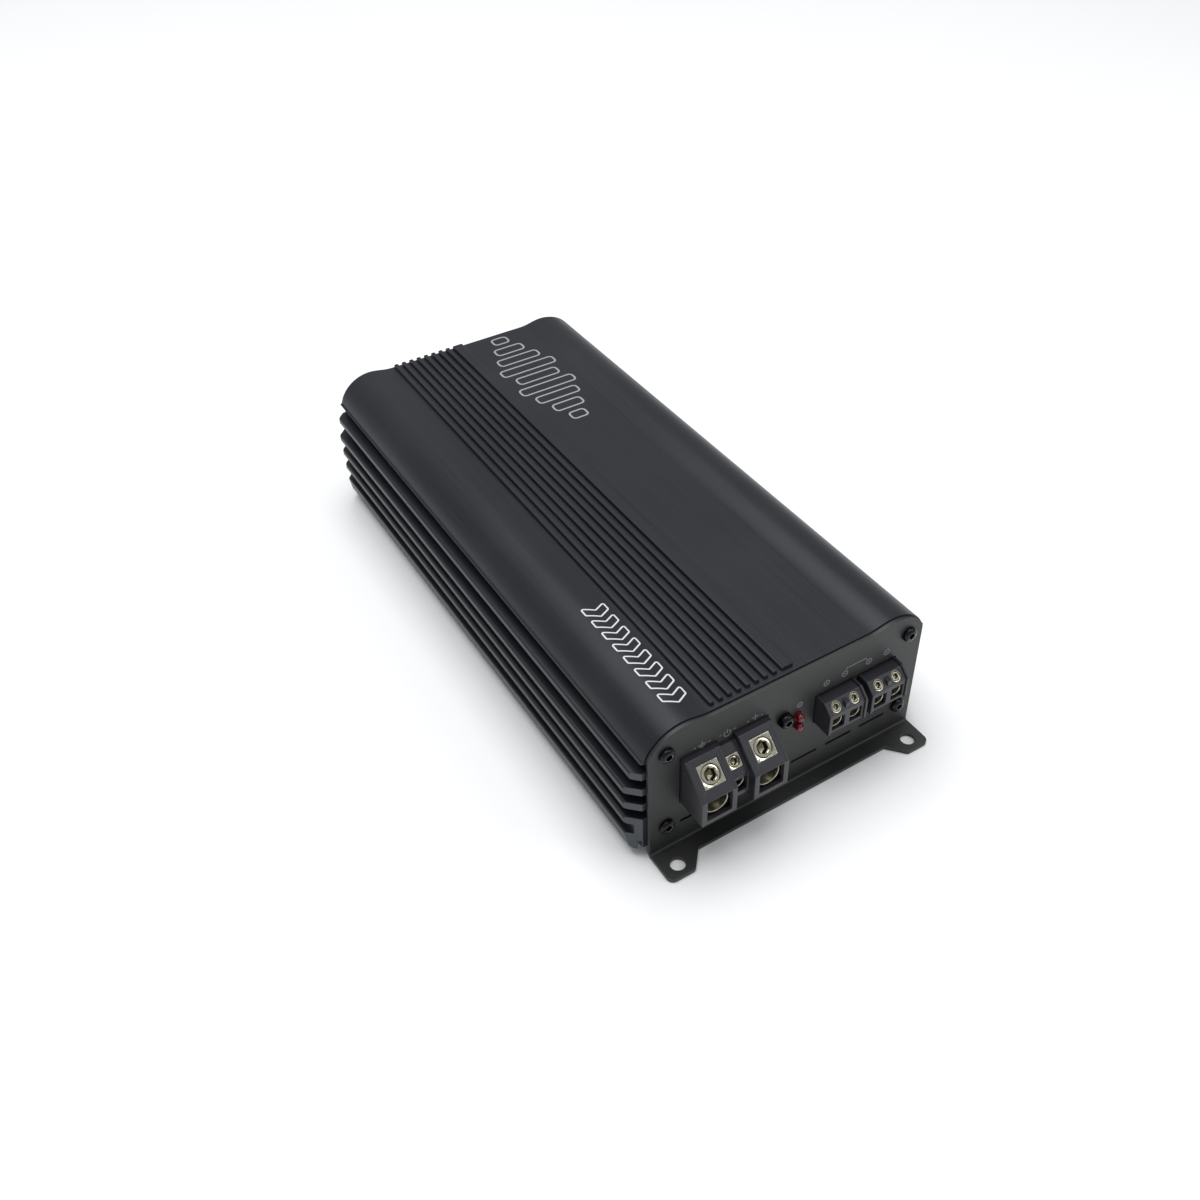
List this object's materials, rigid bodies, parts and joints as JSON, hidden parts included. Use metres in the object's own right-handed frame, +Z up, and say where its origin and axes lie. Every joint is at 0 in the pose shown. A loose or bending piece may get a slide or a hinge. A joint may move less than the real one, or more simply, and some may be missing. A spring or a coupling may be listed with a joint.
{
  "type": "car amplifier",
  "caption": "Car audio power amplifier: finned extruded case, bent end plates with mounting ears, screw terminals for cables at the front, signal jacks and controls at the rear.",
  "frame": {"origin": "middle of the footprint, on the mounting surface under the flanges", "axes": "+Z up, +Y towards the rear panel with the signal jacks, -Y towards the terminals, +X to the right seen from the terminals"},
  "size_m": [0.122, 0.266, 0.0566],
  "materials": {
    "case_anodised": "black anodised, fine satin",
    "sheet_black": "black powder coat, satin",
    "screw_black": "black zinc",
    "steel_zinc": "zinc plated",
    "tin_plate": "tinned",
    "board_green": "solder mask on glass epoxy",
    "terminal_black": "moulded, fine texture",
    "nickel_brass": "nickel plated",
    "copper_bar": "tinned copper",
    "led_red": "clear moulded",
    "nickel_sleeve": "nickel plated",
    "insulator_plastic": "moulded",
    "gold_contact": "gold flashed",
    "pot_body": "moulded",
    "knob_black": "moulded",
    "ferrite": "coated",
    "powdered_iron": "coated",
    "enamelled_copper": "enamelled wire",
    "capacitor_sleeve": "shrink sleeve",
    "epoxy_black": "moulded epoxy",
    "thermal_pad": "silicone coated glass cloth"
  },
  "bodies": {
    "root": {"heatsink_case": "case_anodised", "bottom_cover": "sheet_black", "bottom_cover_screws": "screw_black", "front_end_plate": "sheet_black", "rear_end_plate": "sheet_black", "front_plate_screws": "screw_black", "rear_plate_screws": "screw_black", "anchor_bracket": "steel_zinc", "anchor_screw": "screw_black", "main_board": "board_green", "power_terminal_housing": "terminal_black", "ground_clamp": "nickel_brass", "remote_clamp": "nickel_brass", "positive_clamp": "nickel_brass", "power_terminal_tails": "copper_bar", "speaker_housing_left": "terminal_black", "speaker_housing_right": "terminal_black", "speaker_clamps": "nickel_brass", "speaker_terminal_tails": "copper_bar", "power_led": "led_red", "protect_led": "led_red", "led_leads": "tin_plate", "jack_housing": "terminal_black", "jack_sleeves": "nickel_sleeve", "jack_insulators": "insulator_plastic", "jack_contacts": "gold_contact", "remote_port": "terminal_black", "remote_port_contacts": "gold_contact", "control_pots": "pot_body", "switch_body": "steel_zinc", "transformer_core": "ferrite", "transformer_winding": "enamelled_copper", "inductor_cores": "powdered_iron", "inductor_windings": "enamelled_copper", "storage_capacitors": "capacitor_sleeve", "input_capacitors": "capacitor_sleeve", "transistors_left": "epoxy_black", "transistors_right": "epoxy_black", "insulator_left": "thermal_pad", "insulator_right": "thermal_pad", "clamp_bar_left": "steel_zinc", "clamp_bar_right": "steel_zinc", "clamp_bar_screws": "steel_zinc", "driver_board": "board_green", "driver_chips": "epoxy_black"},
    "ground_screw": {"ground_screw": "nickel_brass"},
    "remote_screw": {"remote_screw": "nickel_brass"},
    "positive_screw": {"positive_screw": "nickel_brass"},
    "speaker_screw_1": {"speaker_screw_1": "nickel_brass"},
    "speaker_screw_2": {"speaker_screw_2": "nickel_brass"},
    "speaker_screw_3": {"speaker_screw_3": "nickel_brass"},
    "speaker_screw_4": {"speaker_screw_4": "nickel_brass"},
    "level_knob": {"level_knob": "knob_black"},
    "low_pass_knob": {"low_pass_knob": "knob_black"},
    "subsonic_knob": {"subsonic_knob": "knob_black"},
    "bass_boost_knob": {"bass_boost_knob": "knob_black"},
    "switch_slider": {"switch_slider": "knob_black"}
  },
  "joints": [
    {"name": "ground_screw_feed", "type": "slide", "parent": "root", "child": "ground_screw", "axis": [0, 0.6858, -0.7278], "range_m": [0, 0.0045]},
    {"name": "remote_screw_feed", "type": "slide", "parent": "root", "child": "remote_screw", "axis": [0, 0.6858, -0.7278], "range_m": [0, 0.0035]},
    {"name": "positive_screw_feed", "type": "slide", "parent": "root", "child": "positive_screw", "axis": [0, 0.6858, -0.7278], "range_m": [0, 0.0045]},
    {"name": "speaker_screw_1_feed", "type": "slide", "parent": "root", "child": "speaker_screw_1", "axis": [0, 0.6858, -0.7278], "range_m": [0, 0.003]},
    {"name": "speaker_screw_2_feed", "type": "slide", "parent": "root", "child": "speaker_screw_2", "axis": [0, 0.6858, -0.7278], "range_m": [0, 0.003]},
    {"name": "speaker_screw_3_feed", "type": "slide", "parent": "root", "child": "speaker_screw_3", "axis": [0, 0.6858, -0.7278], "range_m": [0, 0.003]},
    {"name": "speaker_screw_4_feed", "type": "slide", "parent": "root", "child": "speaker_screw_4", "axis": [0, 0.6858, -0.7278], "range_m": [0, 0.003]},
    {"name": "level_knob_turn", "type": "hinge", "parent": "root", "child": "level_knob", "pos_m": [-0.0176, 0.1205, 0.028], "axis": [0, 1, 0], "range_deg": [-150, 150]},
    {"name": "low_pass_knob_turn", "type": "hinge", "parent": "root", "child": "low_pass_knob", "pos_m": [-0.0262, 0.1205, 0.028], "axis": [0, 1, 0], "range_deg": [-150, 150]},
    {"name": "subsonic_knob_turn", "type": "hinge", "parent": "root", "child": "subsonic_knob", "pos_m": [-0.0348, 0.1205, 0.028], "axis": [0, 1, 0], "range_deg": [-150, 150]},
    {"name": "bass_boost_knob_turn", "type": "hinge", "parent": "root", "child": "bass_boost_knob", "pos_m": [-0.0434, 0.1205, 0.028], "axis": [0, 1, 0], "range_deg": [-150, 150]},
    {"name": "switch_slide", "type": "slide", "parent": "root", "child": "switch_slider", "axis": [-1, 0, 0], "range_m": [0, 0.003]}
  ]
}
